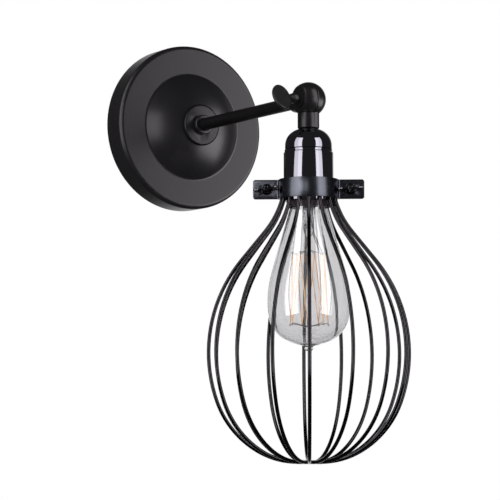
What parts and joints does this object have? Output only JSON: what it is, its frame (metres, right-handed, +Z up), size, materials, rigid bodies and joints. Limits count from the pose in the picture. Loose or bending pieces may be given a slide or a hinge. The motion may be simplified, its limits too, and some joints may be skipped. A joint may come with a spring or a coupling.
{
  "type": "cage wall light",
  "caption": "Wall light with a domed backplate, a straight arm, a tilting ball joint with a thumb screw, a lampholder, a bare bulb and a pear-shaped wire cage.",
  "frame": {"origin": "centre of the backplate on the wall plane", "axes": "+Y into the wall, +Z up, +X to the right seen from the room"},
  "size_m": [0.1546, 0.2745, 0.3504],
  "materials": {
    "black_satin": "satin black powder coat",
    "arm_black": "satin black paint",
    "holder_gloss": "high gloss black",
    "insulation": "dark brown moulding",
    "strap_paint": "semi-gloss blue grey black",
    "fixing_black": "gloss black",
    "wire_black": "gloss black",
    "zinc_steel": "zinc plated",
    "ground_green": "green",
    "brass_parts": "plain brass",
    "lead_sleeve": "white insulation",
    "friction_fibre": "pressed fibre",
    "clear_glass": "clear",
    "cap_insulator": "black vitreous insulator",
    "solder": "dull solder",
    "glow_wire": "glowing filament",
    "support_wire": "bare wire"
  },
  "bodies": {
    "base": {"canopy": "black_satin", "wall_crossbar": "zinc_steel", "lock_washer": "zinc_steel", "crossbar_nut": "zinc_steel", "ground_screw": "ground_green", "canopy_washer": "black_satin", "ring_nut": "black_satin", "arm_tube": "arm_black", "supply_leads": "lead_sleeve", "arm_knuckle": "black_satin", "spot_washer": "black_satin", "friction_washer": "friction_fibre"},
    "head": {"head_knuckle": "black_satin", "neck_nipple": "brass_parts", "cap_nut": "zinc_steel", "holder_cap": "holder_gloss", "holder_shell": "holder_gloss", "socket_insert": "insulation", "screw_shell": "brass_parts", "centre_contact": "brass_parts", "terminal_screws": "brass_parts", "holder_leads": "lead_sleeve", "collar_front": "strap_paint", "collar_back": "strap_paint", "clamp_screws": "fixing_black", "clamp_washers": "fixing_black", "cage_hub": "wire_black", "cage_wire_01": "wire_black", "cage_wire_02": "wire_black", "cage_wire_03": "wire_black", "cage_wire_04": "wire_black", "cage_wire_05": "wire_black", "cage_wire_06": "wire_black", "cage_wire_07": "wire_black", "cage_wire_08": "wire_black", "cage_wire_09": "wire_black", "cage_wire_10": "wire_black", "cage_wire_11": "wire_black", "cage_wire_12": "wire_black", "cage_wire_13": "wire_black", "cage_wire_14": "wire_black", "cage_wire_15": "wire_black", "cage_wire_16": "wire_black"},
    "thumb_screw": {"thumb_screw": "black_satin"},
    "wing_nut_left": {"wing_nut_left": "fixing_black"},
    "wing_nut_right": {"wing_nut_right": "fixing_black"},
    "bulb": {"bulb_glass": "clear_glass", "bulb_cap": "brass_parts", "bulb_insulator": "cap_insulator", "bulb_contact": "solder", "glass_stem": "clear_glass", "filament": "glow_wire", "filament_supports": "support_wire"}
  },
  "joints": [
    {"name": "head_tilt", "type": "hinge", "parent": "base", "child": "head", "pos_m": [0, -0.197, 0], "axis": [-1, 0, 0], "range_deg": [-15, 180]},
    {"name": "thumb_turn", "type": "hinge", "parent": "head", "child": "thumb_screw", "pos_m": [0, -0.197, 0], "axis": [-1, 0, 0], "continuous": true},
    {"name": "wing_nut_left_turn", "type": "hinge", "parent": "head", "child": "wing_nut_left", "pos_m": [-0.02646, -0.17813, -0.0701], "axis": [-0.5807, -0.8141, 0], "continuous": true},
    {"name": "wing_nut_right_turn", "type": "hinge", "parent": "head", "child": "wing_nut_right", "pos_m": [0.02646, -0.21587, -0.0701], "axis": [-0.5807, -0.8141, 0], "continuous": true},
    {"name": "bulb_turn", "type": "hinge", "parent": "head", "child": "bulb", "pos_m": [0, -0.197, -0.07], "axis": [0, 0, 1], "continuous": true}
  ]
}
